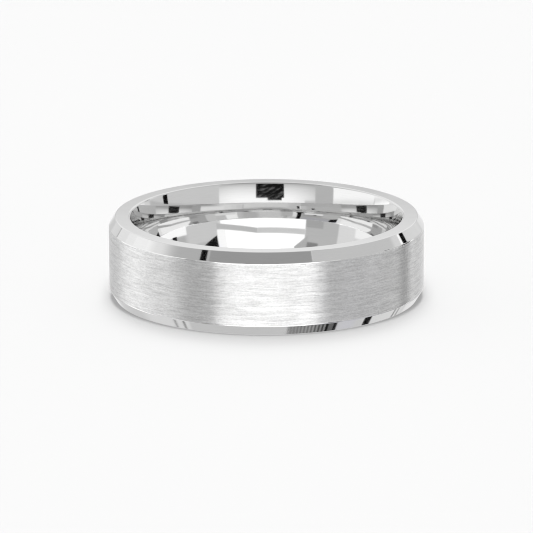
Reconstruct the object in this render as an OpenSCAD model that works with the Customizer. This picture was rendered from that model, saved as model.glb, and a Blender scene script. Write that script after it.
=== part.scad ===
// Wedding band: a single solid ring of white metal with a flat outer face,
// bevelled shoulders and a comfort-fit bore.
// Millimetres. The ring rests on one side face, with its axis along +Z and the
// origin at the centre of the plane that it rests on.

/* [Finger size] */
// Inner diameter at the tightest place, which is what a finger size gauges
finger_d = 18.85; // [14:0.05:24]

/* [Band] */
// Width of the band, from one side face to the other
band_w = 6.0; // [4:0.1:10]
// Thickness of the wall, midway across the band
wall_t = 2.0; // [1.5:0.05:3]

/* [Bevelled shoulders] */
// How much of the width each bevel takes
bevel_w = 0.74; // [0.3:0.02:1.2]
// How much of the thickness each bevel takes
bevel_t = 0.46; // [0.2:0.02:0.6]

/* [Comfort fit] */
// How far the domed bore falls back from the finger on its way to each side face
comfort_rise = 0.48; // [0.1:0.02:0.6]
// Width of the straight ring that sizing leaves along the crown of the dome
contact_w = 0.6; // [0.4:0.1:1.2]

/* [Polish] */
// Radius that polishing leaves on every edge
edge_r = 0.05; // [0.02:0.01:0.08]

/* [Hidden] */
$fn = 256;

// Radii of the straight ring in the bore and of the outer face
finger_r = finger_d / 2;
outer_r = finger_r + wall_t;

// The section is drawn as radius against height, with its middle at height 0
half_w = band_w / 2;

// The dome of the bore is one arc across the whole width. The straight ring
// trims its crown, which would otherwise stand this much nearer the axis
dome_r = (half_w * half_w + comfort_rise * comfort_rise) / (2 * comfort_rise);
trimmed = dome_r - sqrt(dome_r * dome_r - contact_w * contact_w / 4);
dome_centre = [finger_r - trimmed + dome_r, 0];

// Corners of the upper half of the section
mouth = [finger_r - trimmed + comfort_rise, half_w];
side_corner = [outer_r - bevel_t, half_w];
bevel_corner = [outer_r, half_w - bevel_w];
outer_middle = [outer_r, 0];

// Centres of the edge radii at those corners. The mouth's lies between the side
// face and the dome, edge_r inside both
side_centre = round_centre(mouth, side_corner, bevel_corner);
bevel_centre = round_centre(side_corner, bevel_corner, outer_middle);
mouth_z = half_w - edge_r;
mouth_reach = sqrt(pow(dome_r - edge_r, 2) - mouth_z * mouth_z);
mouth_centre = [dome_centre[0] - mouth_reach, mouth_z];

// Where the mouth's edge radius meets the side face and the dome, and where the
// straight cut through those two points reaches the bore's straight ring
mouth_on_side = [mouth_centre[0], half_w];
mouth_on_dome = dome_centre + (mouth_centre - dome_centre) * dome_r / (dome_r - edge_r);
cut_slope = (mouth_on_side[1] - mouth_on_dome[1]) / (mouth_on_side[0] - mouth_on_dome[0]);
cut_end = [finger_r, mouth_on_dome[1] - (mouth_on_dome[0] - finger_r) * cut_slope];

// Outline of the upper half, from the bore round to the outer face
upper_outline = concat(
    [cut_end, mouth_on_side],
    cut_corner(mouth, side_corner, bevel_corner),
    cut_corner(side_corner, bevel_corner, outer_middle)
);

function unit(v) = v / norm(v);
// Half the angle at b between the edges to a and c
function half_angle(a, b, c) = acos(unit(a - b) * unit(c - b)) / 2;
// Centre of the edge radius in the corner a-b-c
function round_centre(a, b, c) =
    b + unit(unit(a - b) + unit(c - b)) * edge_r / sin(half_angle(a, b, c));
// The two points where that radius touches the edges
function cut_corner(a, b, c) =
    let (reach = edge_r / tan(half_angle(a, b, c)))
    [b + unit(a - b) * reach, b + unit(c - b) * reach];

// Section bounded by the straight ring, the side faces, the bevels and the outer
// face, with each corner cut straight across. It runs anticlockwise.
module outer_outline() {
    last = len(upper_outline) - 1;
    polygon(concat(
        [for (point = upper_outline) [point[0], -point[1]]],
        [for (i = [last : -1 : 0]) upper_outline[i]]
    ));
}

// Everything on the metal's side of the domed bore.
module dome_outline() {
    translate(dome_centre)
        circle(r = dome_r);
}

// Rounds that stand in the cut corners and turn them into edge radii.
module edge_rounds() {
    for (centre = [mouth_centre, side_centre, bevel_centre])
        for (side = [-1, 1])
            translate([centre[0], side * centre[1]])
                circle(r = edge_r);
}

module section() {
    intersection() {
        outer_outline();
        dome_outline();
    }
    edge_rounds();
}

module band() {
    color("gainsboro")
        translate([0, 0, half_w])
            rotate_extrude()
                section();
}

band();
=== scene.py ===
"""Looks for the wedding band: a lathed band in satin and polished white metal, a
painted studio, a pale floor, an overhead strip of lamps and the camera. Everything is
in metres, and a length given in mm is multiplied by MM."""

import math

import bpy
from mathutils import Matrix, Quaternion, Vector


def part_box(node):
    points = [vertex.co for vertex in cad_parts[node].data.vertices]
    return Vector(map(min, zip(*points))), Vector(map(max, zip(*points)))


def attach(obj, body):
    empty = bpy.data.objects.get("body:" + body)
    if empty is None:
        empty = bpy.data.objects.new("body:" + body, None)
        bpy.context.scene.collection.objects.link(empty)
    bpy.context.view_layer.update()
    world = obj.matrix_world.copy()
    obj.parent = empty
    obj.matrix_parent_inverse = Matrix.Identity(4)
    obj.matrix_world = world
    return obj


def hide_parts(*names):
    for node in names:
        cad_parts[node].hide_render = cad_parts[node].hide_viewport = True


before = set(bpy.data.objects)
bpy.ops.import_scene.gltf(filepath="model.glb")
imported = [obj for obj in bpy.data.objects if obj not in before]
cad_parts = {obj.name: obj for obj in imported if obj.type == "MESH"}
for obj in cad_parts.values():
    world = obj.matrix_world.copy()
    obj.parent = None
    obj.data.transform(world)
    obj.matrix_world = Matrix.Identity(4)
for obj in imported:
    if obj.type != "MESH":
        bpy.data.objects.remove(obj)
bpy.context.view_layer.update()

MM = 0.001
BAND_LOW, BAND_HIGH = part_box("band")
OUTER_RADIUS = BAND_HIGH.x
HALF_WIDTH = (BAND_HIGH.z - BAND_LOW.z) / 2
CENTRE = Vector((0, 0, BAND_LOW.z + HALF_WIDTH))

# ---------------------------------------------------------------- the section
WALL = 2.0047 * MM              # to the crown of the domed bore
BEVEL_WIDTH = 0.74 * MM
BEVEL_DEPTH = 0.46 * MM
COMFORT_RISE = 0.48 * MM        # how far the dome falls back at each side face
MOUTH_RADIUS = 0.15 * MM        # the edges as polishing leaves them
SIDE_RADIUS = 0.10 * MM
SHOULDER_RADIUS = 0.18 * MM

SEGMENTS = 720                  # round the band
DOME_STEPS = 56                 # across the bore
FACE_STEPS = 12                 # across the outer face
EDGE_STEPS = 5                  # round each edge

SATIN, POLISHED = 0, 1          # material slots of the band
STRAIGHT_OUT = 0.99999          # a normal with more than this outwards is the outer face's


def line(start, end, steps):
    """Points from start to end, each with the normal on the left of the way."""
    way = (end - start).normalized()
    normal = Vector((-way.y, way.x))
    return [(start.lerp(end, i / steps), normal) for i in range(steps + 1)]


def rounded(corner, way_in, way_out, radius):
    """An arc in a corner that turns right, as points and normals."""
    turn = math.acos(way_in.dot(way_out))
    centre = corner - way_in * radius * math.tan(turn / 2)
    normal_in = Vector((-way_in.y, way_in.x))
    centre -= normal_in * radius
    first = math.atan2(normal_in.y, normal_in.x)
    points = []
    for i in range(EDGE_STEPS + 1):
        angle = first - turn * i / EDGE_STEPS
        normal = Vector((math.cos(angle), math.sin(angle)))
        points.append((centre + normal * radius, normal))
    return points


def upper_section():
    """Half the section, from the bore's crown over the top to the outer face.
    Points are (radius, height above the middle)."""
    crown = OUTER_RADIUS - WALL
    dome_radius = (HALF_WIDTH**2 + COMFORT_RISE**2) / (2 * COMFORT_RISE)
    mouth_angle = math.asin(HALF_WIDTH / dome_radius)
    mouth = Vector((crown + COMFORT_RISE, HALF_WIDTH))
    side_corner = Vector((OUTER_RADIUS - BEVEL_DEPTH, HALF_WIDTH))
    bevel_corner = Vector((OUTER_RADIUS, HALF_WIDTH - BEVEL_WIDTH))
    outward, down = Vector((1, 0)), Vector((0, -1))
    up_dome = Vector((math.sin(mouth_angle), math.cos(mouth_angle)))
    along_bevel = (bevel_corner - side_corner).normalized()

    at_mouth = rounded(mouth, up_dome, outward, MOUTH_RADIUS)
    at_side = rounded(side_corner, outward, along_bevel, SIDE_RADIUS)
    at_bevel = rounded(bevel_corner, along_bevel, down, SHOULDER_RADIUS)
    cut = MOUTH_RADIUS * math.tan(math.acos(up_dome.dot(outward)) / 2)
    dome_end = mouth_angle - cut / dome_radius
    half_steps = DOME_STEPS // 2
    dome_centre = Vector((crown + dome_radius, 0))
    dome = []
    for i in range(half_steps):
        angle = dome_end * i / half_steps
        normal = Vector((-math.cos(angle), math.sin(angle)))
        dome.append((dome_centre + normal * dome_radius, normal))
    face = line(at_bevel[-1][0], Vector((OUTER_RADIUS, 0)), FACE_STEPS // 2)
    return dome + at_mouth + at_side + at_bevel + face[1:]


def closed_section():
    """The whole section as a closed loop of points and normals: the upper half and
    its mirror image, without repeating the points that they share."""
    upper = upper_section()
    lower = [
        (Vector((point.x, -point.y)), Vector((normal.x, -normal.y)))
        for point, normal in reversed(upper)
    ]
    return upper + lower[1:-1]


def lathe_band():
    """The band as one closed mesh with exact normals and two material slots."""
    loop = closed_section()
    count = len(loop)
    verts, normals = [], []
    for j in range(SEGMENTS):
        angle = 2 * math.pi * j / SEGMENTS
        spoke = Vector((math.cos(angle), math.sin(angle), 0))
        for point, normal in loop:
            verts.append(CENTRE + spoke * point.x + Vector((0, 0, point.y)))
            normals.append(spoke * normal.x + Vector((0, 0, normal.y)))
    faces, slots = [], []
    for j in range(SEGMENTS):
        here, there = j * count, (j + 1) % SEGMENTS * count
        for i in range(count):
            k = (i + 1) % count
            faces.append((here + i, here + k, there + k, there + i))
            on_face = min(loop[i][1].x, loop[k][1].x) > STRAIGHT_OUT
            slots.append(SATIN if on_face else POLISHED)
    mesh = bpy.data.meshes.new("polished_band")
    mesh.from_pydata(verts, [], faces)
    mesh.polygons.foreach_set("material_index", slots)
    mesh.polygons.foreach_set("use_smooth", [True] * len(faces))
    mesh.normals_split_custom_set_from_vertices(normals)
    band = bpy.data.objects.new("band_finish", mesh)
    bpy.context.scene.collection.objects.link(band)
    return band


# ---------------------------------------------------------------- node helpers
class Nodes:
    """Short calls that add nodes to one node tree. A value given to a node is either
    another node's output or a constant."""

    # Where a Mix node keeps its two values and its result, by data type
    MIX_SOCKETS = {"FLOAT": (2, 3, 0), "RGBA": (6, 7, 2)}

    def __init__(self, owner):
        owner.use_nodes = True
        self.tree = owner.node_tree
        self.tree.nodes.clear()

    def add(self, kind, **settings):
        """A new shader node with its settings."""
        node = self.tree.nodes.new("ShaderNode" + kind)
        for name, value in settings.items():
            setattr(node, name, value)
        return node

    def feed(self, socket, value):
        """Links an output to the socket, or sets the socket to a constant."""
        if isinstance(value, bpy.types.NodeSocket):
            self.tree.links.new(value, socket)
        else:
            socket.default_value = value

    def math(self, operation, *values):
        """One Math node's result."""
        node = self.add("Math", operation=operation)
        for socket, value in zip(node.inputs, values):
            self.feed(socket, value)
        return node.outputs[0]

    def ramp(self, value, start, end, low=0.0, high=1.0, kind="SMOOTHSTEP"):
        """low where value is at start, high where it is at end, smooth between."""
        node = self.add("MapRange", interpolation_type=kind)
        for socket, item in zip(node.inputs, (value, start, end, low, high)):
            self.feed(socket, item)
        return node.outputs[0]

    def blend(self, factor, a, b, kind="FLOAT"):
        """a where factor is 0, b where it is 1, and a mix between."""
        first, second, result = self.MIX_SOCKETS[kind]
        node = self.add("Mix", data_type=kind)
        self.feed(node.inputs[0], factor)
        self.feed(node.inputs[first], a)
        self.feed(node.inputs[second], b)
        return node.outputs[result]

    def noise(self, vector, detail, roughness):
        """Noise from 0 to 1, with cells of about one unit of the vector."""
        node = self.add("TexNoise")
        self.feed(node.inputs["Vector"], vector)
        node.inputs["Scale"].default_value = 1.0
        node.inputs["Detail"].default_value = detail
        node.inputs["Roughness"].default_value = roughness
        return node.outputs["Fac"]

    def texture(self, place, cells, detail, roughness):
        """Noise on the band, with so many cells per millimetre in x, y and z."""
        node = self.add("VectorMath", operation="MULTIPLY")
        self.feed(node.inputs[0], place)
        node.inputs[1].default_value = [n / MM for n in cells]
        return self.noise(node.outputs[0], detail, roughness)


# ---------------------------------------------------------------- materials
METAL = (0.75, 0.75, 0.748)

# Noise: cells per millimetre in x, y and z, detail and roughness. The cells are long
# round the band and narrow across its width, so the marks run round it.
STREAKS = ((0.5, 0.5, 9.0), 1.0, 0.6)        # long brush marks
DASHES = ((2.2, 2.2, 13.0), 1.0, 0.6)        # short marks between them
GRIT = ((7.0, 7.0, 11.0), 1.0, 0.5)          # the grain that breaks the marks up
BRUSH = ((0.2, 0.2, 2.5), 3.0, 0.6)          # uneven pressure of the brush
SCRATCHES = ((0.7, 0.7, 14.0), 1.0, 0.5)     # a few deeper lines
WHEEL = ((0.5, 0.5, 4.0), 2.0, 0.5)          # waves that the polishing wheel leaves
HAIRLINES = ((1.2, 1.2, 22.0), 1.0, 0.5)     # fine scratches of wear in the polish
CLOUDS = ((0.35, 0.35, 0.35), 2.0, 0.5)      # handling and wear, the same in all ways

DASH_SHARE = 0.45               # of the dashes among the brush marks
GRIT_SHARE = 0.3                # of the grit in the streaks and dashes
BRUSH_SHARE = 0.12              # of the brush's pressure in the relief
SCRATCH_LIMITS = (0.62, 0.74)   # noise where a scratch starts and is deepest
SCRATCH_DEPTH = 0.6
MARK_LIMITS = (0.36, 0.64)      # noise where the marks' painted shade is darkest and where it is palest
BRUSH_LIMITS = (0.35, 0.65)     # noise of the least and the most roughness
SATIN_ROUGHNESS = (0.33, 0.40)
SATIN_PAINTED_SHADE = 0.17             # how far painted shade of the marks' grooves darkens the metal, and how far it lightens it between them
SATIN_RELIEF = 0.008 * MM
SATIN_STRETCH = 1.0             # reflections are blurred in one direction only,
ACROSS_LINES = 0.25             # which is this many turns from the lines' tangent

CLOUD_LIMITS = (0.3, 0.7)       # noise of the least and the most roughness
POLISH_ROUGHNESS = (0.03, 0.07)
POLISH_SHADES = 0.06
POLISH_WAVE = 0.0002 * MM
HAIRLINE_RELIEF = 0.04          # the hairlines' share of the relief
HAIRLINE_TONE = 0.5             # and of the colour


def metal_colour(n, variation, amount):
    """The metal's colour, darker where variation is 0 and lighter where it is 1."""
    dark = [c * (1 - amount) for c in METAL] + [1]
    light = [min(1, c * (1 + amount)) for c in METAL] + [1]
    return n.blend(variation, dark, light, "RGBA")


def bump(n, height, depth):
    """Normals of a relief that is depth metres deep where height goes from 0 to 1."""
    node = n.add("Bump")
    node.inputs["Strength"].default_value = 1.0
    node.inputs["Distance"].default_value = depth
    n.feed(node.inputs["Height"], height)
    return node.outputs["Normal"]


def finish_metal(n, colour, roughness, normal):
    """The metal's shader, joined to the material's output."""
    shader = n.add("BsdfPrincipled")
    shader.inputs["Metallic"].default_value = 1.0
    n.feed(shader.inputs["Base Color"], colour)
    n.feed(shader.inputs["Roughness"], roughness)
    n.feed(shader.inputs["Normal"], normal)
    output = n.add("OutputMaterial")
    n.feed(output.inputs["Surface"], shader.outputs[0])
    return shader


def satin_metal():
    """Brushed round the band: its lines run along the circumference and blur
    reflections across the width."""
    material = bpy.data.materials.new("satin_white_metal")
    n = Nodes(material)
    place = n.add("TexCoord").outputs["Object"]
    streak = n.texture(place, *STREAKS)
    dash = n.texture(place, *DASHES)
    grit = n.texture(place, *GRIT)
    brush = n.texture(place, *BRUSH)
    lines = n.texture(place, *SCRATCHES)
    scratch = n.ramp(lines, *SCRATCH_LIMITS, 0.0, SCRATCH_DEPTH)
    marks = n.blend(GRIT_SHARE, n.blend(DASH_SHARE, streak, dash), grit)
    height = n.math("SUBTRACT", n.blend(BRUSH_SHARE, marks, brush), scratch)
    roughness = n.ramp(brush, *BRUSH_LIMITS, *SATIN_ROUGHNESS, "LINEAR")
    # painted shade: the metal is darker in the grooves of the brush marks and the
    # scratches, and paler between them
    shade = n.ramp(marks, *MARK_LIMITS, kind="LINEAR")
    tone = n.math("SUBTRACT", shade, scratch)
    colour = metal_colour(n, tone, SATIN_PAINTED_SHADE)
    shader = finish_metal(n, colour, roughness, bump(n, height, SATIN_RELIEF))
    shader.inputs["Anisotropic"].default_value = SATIN_STRETCH
    shader.inputs["Anisotropic Rotation"].default_value = ACROSS_LINES
    tangent = n.add("Tangent", direction_type="RADIAL", axis="Z")
    n.feed(shader.inputs["Tangent"], tangent.outputs[0])
    return material


def polished_metal():
    """Mirror polish with faint wheel waves, hairlines and clouds of handling."""
    material = bpy.data.materials.new("polished_white_metal")
    n = Nodes(material)
    place = n.add("TexCoord").outputs["Object"]
    wheel = n.texture(place, *WHEEL)
    hairline = n.texture(place, *HAIRLINES)
    cloud = n.texture(place, *CLOUDS)
    roughness = n.ramp(cloud, *CLOUD_LIMITS, *POLISH_ROUGHNESS, "LINEAR")
    height = n.blend(HAIRLINE_RELIEF, wheel, hairline)
    tone = n.blend(HAIRLINE_TONE, cloud, hairline)
    colour = metal_colour(n, tone, POLISH_SHADES)
    finish_metal(n, colour, roughness, bump(n, height, POLISH_WAVE))
    return material


# ---------------------------------------------------------------- the studio
# Directions are seen from the band: azimuth 0 is the camera's side, positive to
# its right, and elevation is above the horizon, in degrees. Mirror-polished metal
# shows the panels sharply. The satin face blurs them in elevation, and the panels
# called fill, under or over lie where only that face sees them and set its shades.
ROOM_TONE = 0.74

# name, azimuth from and to, elevation from and to, soft edges of each, brightness,
# and how far the elevations climb per degree of azimuth. Later ones cover earlier ones.
PANELS = (
    ("front_glow", -43.5, 42, -8, 14.5, 0.6, 16, 1.1, 0),
    ("front_high", -43.5, 42, 20, 34, 0.6, 8, 0.50, 0),
    ("front_left_fade", -132, -52, 4, 30, 80, 4, 0.10, 0),
    ("front_right_fade", 64, 150, 4, 30, 88, 4, 0.10, 0),
    ("room_behind", 117, 243, -2, 40, 6, 2, 0.74, 0),
    ("back_wall_glow", 140, 220, 14, 60, 20, 1.6, 0.87, 0),
    ("back_right_glow", 150, 196, -60, 12, 12, 6, 0.78, 0),
    ("back_right_dim", 127, 154, -33, 2, 4, 6, 0.63, 0),
    ("back_right_edge", 126, 133, -33, 2, 1, 6, 1.05, 0),
    ("back_wall_shelf", 150, 210, 6, 14, 20, 1.6, 0.58, 0),
    ("left_dim_high", -86, -44, 20, 75, 22, 4, 0.48, 0),
    ("left_key", -150, -90, 4, 34, 36, 10, 0.98, 0),
    ("left_back_dim", -166, -137.5, -56, 11, 12, 6, 0.62, 0),
    ("left_back_lit", -166, -139.9, 1, 12, 4, 3, 0.74, 0),
    ("left_low_key", -128, -107, -42, 4, 2, 8, 1.24, 0),
    ("left_low_glow", -126, -87, -19, -4, 3, 2, 1.0, 0),
    ("left_low_grey", -88, -69, -45, 5, 4, 4, 0.78, 0),
    ("left_grey_fill", -90, -74, -8, 3, 3, 2, 1.1, 0),
    ("left_low_dim", -69, -34, -60, 6, 2, 4, 0.53, 0),
    ("left_fill_under", -69, -36, -62, -39, 2, 2, 0.30, 0),
    ("left_fill_over", -69, -38, -9, 4, 2, 2, 0.25, 0),
    ("left_low_dark", -53, -34, -17, -4, 2, 1, 0.42, 0),
    ("left_low_darker", -50, -30, -48, -30.3, 1, 1, 0.25, 0),
    ("left_edge_fill_under", -52, -36, -62, -46, 4, 2, 1.2, 0),
    ("left_edge_fill_over", -52, -36, -4, 4, 4, 2, 1.2, 0),
    ("left_window", -105.5, -60.5, 4, 26, 1, 12, 1.06, 0),
    ("left_key_edge", -138.5, -118, 4, 30, 0.5, 4, 0.92, 0),
    ("left_key_corner", -138.5, -127, 4, 30, 0.5, 4, 0.85, 0),
    ("left_key_rim", -139.9, -138.6, 4, 30, 0.4, 2, 0.50, 0),
    ("left_post", -60.5, -44, 4, 26, 0.6, 2, 0.50, 0),
    ("right_high", 41, 117, 20, 75, 1, 4, 0.60, 0),
    ("right_mid", 42, 136, 4, 22, 1, 4, 0.64, 0),
    ("right_mid_bright", 109, 141, 8, 23, 6, 2, 0.74, 0),
    ("right_low", 44, 78, -56, 4, 2, 4, 0.65, 0),
    ("right_low_dim", 78, 117, -58, 4, 6, 4, 0.50, 0),
    ("right_fill_under", 45, 116, -48, -27, 4, 2, 0.55, 0),
    ("right_low_window", 77.5, 112, -18, -11, 1.5, 1, 1.1, 0),
    ("right_low_even", 98, 117, -64, -46, 1, 2, 0.63, 0),
    ("right_fill_over", 44, 117, -10, 4, 2, 2, 0.54, 0),
    ("right_edge_fill_over", 43, 54, -6, 4, 2, 2, 0.95, 0),
    ("right_edge_fill_under", 43, 54, -60, -46, 2, 2, 0.95, 0),
    ("front_low_glow", -36, 42, -58, -8, 1.5, 2, 1.25, 0),
    ("front_low_glow_side", 38, 46, -38, -18, 1, 1, 1.1, 0),
    ("front_low_cut", -39, -27, -66, -30, 0.3, 1, 0.48, -1.0),
    ("front_fill_under", -37, 37, -60, -40, 4, 2, 1.9, 0),
    ("front_core_under", -19, 13, -60, -40, 8, 2, 2.9, 0),
    ("front_fill_over", -37, 37, -9, 3, 4, 2, 1.9, 0),
    ("front_core_over", -19, 13, -9, 3, 8, 2, 2.9, 0),
    ("front_edges_under", 24, 36.5, -60, -40, 2, 2, 2.7, 0),
    ("front_edges_over", 24, 36.5, -9, 3, 2, 2, 2.7, 0),
    ("front_left_edge_under", -37, -29, -60, -40, 2, 2, 2.4, 0),
    ("front_left_edge_over", -37, -29, -9, 3, 2, 2, 2.4, 0),
    ("front_bar_left", -36, 8, -23.8, -18.6, 1, 1, 0.66, 0),
    ("front_bar_right", 8, 46, -20.6, -15.6, 1, 1, 0.55, 0.17),
    ("under_front", -104, 42, -90, -60, 3, 2, 0.60, 0),
    ("front_ceiling", -50.5, 40.5, 36, 75, 0.6, 6, 0.35, 0),
    ("ceiling_strip", -58.2, -52.7, 40, 47, 0.3, 0.3, 0.003, 0),
    ("camera_card", -15.5, 9, 8.6, 27, 0.3, 0.3, 0.008, 0),
    ("camera_card_foot", -13.5, -1, 6.4, 9, 0.3, 0.3, 0.008, 0),
    ("right_strip", 119, 124.5, -80, -2, 0.3, 0.3, 0.004, 0),
    ("right_strip_wide", 117.6, 125, -44, 1, 1, 2, 0.006, 0),
    ("right_strip_fill", 114.5, 127, -13, 0.5, 1, 1, 0.003, 0),
    ("right_strip_top", 121.5, 126, 9, 22, 0.3, 0.3, 0.003, 0),
    ("right_strip_edge", 119.2, 121.3, 9, 23, 0.4, 0.4, 1.1, 0),
    ("right_short_strip", 94.2, 99.6, 4.5, 12.5, 0.3, 0.3, 0.004, 0),
    ("low_black", 89, 98.4, -80, -60, 0.3, 0.3, 0.006, 0),
    ("low_black_gap", 91.4, 95.6, -80, -60, 0.4, 0.3, 0.14, 0),
    ("low_wedge", 46.5, 61, -40, -26.5, 0.3, 0.3, 0.01, -0.5),
    ("low_spot", 89.5, 95, -20.5, -17.5, 0.3, 0.3, 0.01, 0),
    ("left_tick", -115.3, -113.7, -75, -48, 0.6, 0.6, 0.28, 0),
    ("left_tick_next", -108.8, -107, -75, -48, 0.6, 0.6, 0.28, 0),
    ("right_tick", 142.8, 144.4, -46, -30, 0.6, 0.6, 0.30, 0),
    ("right_tick_next", 146.4, 147.9, -46, -30, 0.6, 0.6, 0.34, 0),
    ("zenith", -200, 200, 66, 114, 1, 8, 0.45, 0),
)
STUDIO_LEVEL = 1.15             # of all of it
CAMERA_WHITE = 0.956            # the background that the camera sees

# Azimuth from and to, elevation from and to, and the soft edges of each
SLATS = (43, 89, -82, -60, 0.4, 0.4)         # a slatted card
CARD = (-15.5, 9, 6.4, 27, 0.3, 0.3)         # the dark card on the camera's side
COOL_SIDE = (44, 112, -62, -31, 6, 6)        # where the light is a little bluer

SLAT_FIRST = 51.4               # azimuth of the first pale slat
SLAT_TONE_FROM = 71.4           # azimuth where the slats' tone starts to change
SLAT_RATE = 0.195               # slats per degree
SLAT_CROWDING = 0.00135         # and what makes that grow along the card
SLAT_TONES = (0.27, 0.15)       # before the change and at the far end
SLAT_DEPTH = 0.13               # how far the slats are paler and darker than that
CREASES = (2.0, 0.55)           # detail and roughness of the noise in the card
CREASE_CELLS = (0.12, 0.45)     # per degree, along and across a crease
CREASE_SLOPE = -0.39            # of the creases, in degrees up per degree of azimuth
CREASE_LIMITS = (0.48, 0.72)    # noise where a crease starts and is brightest
CREASE_TONE = 0.14
COOL_SHIFT = (-0.016, -0.018, 0.034)         # of red, green and blue, as shares


def patch(n, azimuth, elevation, area, climb=0):
    """1 inside an area of the studio and 0 outside, with soft edges."""
    az_from, az_to, el_from, el_to, az_soft, el_soft = area
    across = n.math("SUBTRACT", azimuth, (az_from + az_to) / 2)
    across = n.math("WRAP", across, 180.0, -180.0)
    up = n.math("SUBTRACT", elevation, (el_from + el_to) / 2)
    if climb:
        up = n.math("SUBTRACT", up, n.math("MULTIPLY", across, climb))
    masks = []
    for offset, half, soft in (
        (across, (az_to - az_from) / 2, az_soft),
        (up, (el_to - el_from) / 2, el_soft),
    ):
        away = n.math("ABSOLUTE", offset)
        masks.append(n.ramp(away, half + soft / 2, half - soft / 2))
    return n.math("MULTIPLY", *masks)


def card_creases(n, azimuth, elevation):
    """Faint slanting creases in the camera card."""
    across = n.math("MULTIPLY_ADD", azimuth, -CREASE_SLOPE, elevation)
    place = n.add("CombineXYZ")
    n.feed(place.inputs[0], n.math("MULTIPLY", azimuth, CREASE_CELLS[0]))
    n.feed(place.inputs[1], n.math("MULTIPLY", across, CREASE_CELLS[1]))
    noise = n.noise(place.outputs[0], *CREASES)
    crease = n.ramp(noise, *CREASE_LIMITS, 0.0, CREASE_TONE)
    return n.math("MULTIPLY", patch(n, azimuth, elevation, CARD), crease)


def slatted_card(n, azimuth, elevation, light):
    """The light with a card of pale and dark slats over it, closer and darker to
    one end."""
    along = n.math("SUBTRACT", azimuth, SLAT_FIRST)
    rate = n.math("MULTIPLY_ADD", along, SLAT_CROWDING, SLAT_RATE)
    turns = n.math("MULTIPLY", n.math("MULTIPLY", along, rate), 2 * math.pi)
    tone = n.ramp(azimuth, SLAT_TONE_FROM, SLATS[1], *SLAT_TONES)
    slat = n.math("MULTIPLY_ADD", n.math("COSINE", turns), SLAT_DEPTH, tone)
    return n.blend(patch(n, azimuth, elevation, SLATS), light, slat)


def cooled(n, light, azimuth, elevation, seen):
    """The light as a colour, a touch bluer on one side of the studio, but not in the
    background that the camera sees."""
    side = patch(n, azimuth, elevation, COOL_SIDE)
    side = n.math("MULTIPLY", side, n.math("SUBTRACT", 1.0, seen))
    colour = n.add("CombineColor")
    for socket, shift in zip(colour.inputs, COOL_SHIFT):
        gain = n.math("MULTIPLY_ADD", side, shift, 1.0)
        n.feed(socket, n.math("MULTIPLY", light, gain))
    return colour.outputs[0]


def paint_studio():
    """The world, painted by direction with one panel over another. The camera sees
    it plain."""
    world = bpy.data.worlds.new("studio")
    bpy.context.scene.world = world
    n = Nodes(world)
    ray = n.add("SeparateXYZ")
    n.feed(ray.inputs[0], n.add("TexCoord").outputs["Generated"])
    x, y, z = ray.outputs
    azimuth = n.math("ARCTAN2", x, n.math("MULTIPLY", y, -1.0))
    azimuth = n.math("DEGREES", azimuth)
    elevation = n.math("DEGREES", n.math("ARCSINE", z))
    light = ROOM_TONE
    for _, *area, tone, climb in PANELS:
        light = n.blend(patch(n, azimuth, elevation, area, climb), light, tone)
    light = slatted_card(n, azimuth, elevation, light)
    light = n.math("ADD", light, card_creases(n, azimuth, elevation))
    seen = n.add("LightPath").outputs["Is Camera Ray"]
    light = n.blend(seen, light, CAMERA_WHITE / STUDIO_LEVEL)
    background = n.add("Background")
    n.feed(background.inputs["Color"], cooled(n, light, azimuth, elevation, seen))
    background.inputs["Strength"].default_value = STUDIO_LEVEL
    output = n.add("OutputWorld")
    n.feed(output.inputs["Surface"], background.outputs[0])


# ---------------------------------------------------------------- floor and lamps
FLOOR_SIZE = 4.0
FLOOR_ALBEDO = 0.27
FLOOR_GLOW = 0.24               # light of its own, which the band can't shade
LAMP_STRENGTH = 1.33            # of each lamp in the overhead strip
LAMP_SPREAD = math.radians(24)
LAMP_TILTS = [math.radians(tilt) for tilt in (-30, -15, 0, 15, 30)]


def pale_floor():
    """A plain floor, which the metal doesn't mirror."""
    half = FLOOR_SIZE / 2
    corners = [(-half, -half, 0), (half, -half, 0), (half, half, 0), (-half, half, 0)]
    mesh = bpy.data.meshes.new("floor")
    mesh.from_pydata(corners, [], [(0, 1, 2, 3)])
    floor = bpy.data.objects.new("floor", mesh)
    bpy.context.scene.collection.objects.link(floor)
    floor.visible_glossy = False
    material = bpy.data.materials.new("pale_floor")
    n = Nodes(material)
    shader = n.add("BsdfDiffuse")
    shader.inputs["Color"].default_value = (FLOOR_ALBEDO,) * 3 + (1,)
    glow = n.add("Emission")
    glow.inputs["Strength"].default_value = FLOOR_GLOW
    both = n.add("AddShader")
    n.feed(both.inputs[0], shader.outputs[0])
    n.feed(both.inputs[1], glow.outputs[0])
    output = n.add("OutputMaterial")
    n.feed(output.inputs["Surface"], both.outputs[0])
    mesh.materials.append(material)


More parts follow.
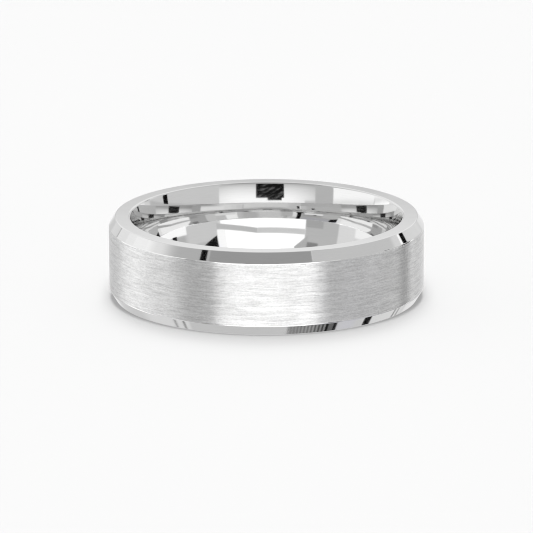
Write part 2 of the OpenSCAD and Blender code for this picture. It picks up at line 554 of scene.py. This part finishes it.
def overhead_strip():
    """A strip of soft lamps over the band, from its back to its front."""
    for i, tilt in enumerate(LAMP_TILTS):
        lamp = bpy.data.lights.new(f"overhead_{i}", "SUN")
        lamp.energy = LAMP_STRENGTH
        lamp.angle = LAMP_SPREAD
        light = bpy.data.objects.new(f"overhead_{i}", lamp)
        bpy.context.scene.collection.objects.link(light)
        light.rotation_euler.x = tilt
        light.visible_glossy = False


# ---------------------------------------------------------------- the camera
CAMERA_ELEVATION = math.radians(14.6)
CAMERA_ROLL = math.radians(-0.17)
CAMERA_DISTANCE = 290.7 * MM
CAMERA_LENS = 270.17            # focal length and sensor in millimetres, as Blender
CAMERA_SENSOR = 36              # takes them
AIM_BELOW_CENTRE = 0.887 * MM
SIGHT_FROM, SIGHT_TO = 0.01, 10  # the nearest and farthest that the camera sees

MIRROR_BOUNCES = 12             # the bore mirrors itself many times
OTHER_BOUNCES = 4               # after those, for the rest of the light's way
PIXEL_FILTER = 1.1              # softness of the picture, in pixels


def make_camera():
    """The camera at the photograph's angle."""
    camera = bpy.data.cameras.new("camera")
    camera.lens = CAMERA_LENS
    camera.sensor_width = CAMERA_SENSOR
    camera.clip_start = SIGHT_FROM
    camera.clip_end = SIGHT_TO
    seen = bpy.data.objects.new("camera", camera)
    bpy.context.scene.collection.objects.link(seen)
    sine, cosine = math.sin(CAMERA_ELEVATION), math.cos(CAMERA_ELEVATION)
    back, up = Vector((0, -cosine, sine)), Vector((0, sine, cosine))
    seen.location = CENTRE + back * CAMERA_DISTANCE
    aim = CENTRE - up * AIM_BELOW_CENTRE
    turn = (aim - seen.location).to_track_quat("-Z", "Y")
    seen.rotation_mode = "QUATERNION"
    seen.rotation_quaternion = turn @ Quaternion((0, 0, 1), CAMERA_ROLL)
    bpy.context.scene.camera = seen


def set_rays():
    """How far light is followed, and the colours as they are."""
    scene = bpy.context.scene
    scene.view_settings.view_transform = "Standard"
    scene.cycles.glossy_bounces = MIRROR_BOUNCES
    scene.cycles.max_bounces = MIRROR_BOUNCES + OTHER_BOUNCES
    scene.cycles.filter_width = PIXEL_FILTER


band = lathe_band()
band.data.materials.append(satin_metal())
band.data.materials.append(polished_metal())
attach(band, "root")
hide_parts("band")
paint_studio()
pale_floor()
overhead_strip()
make_camera()
set_rays()
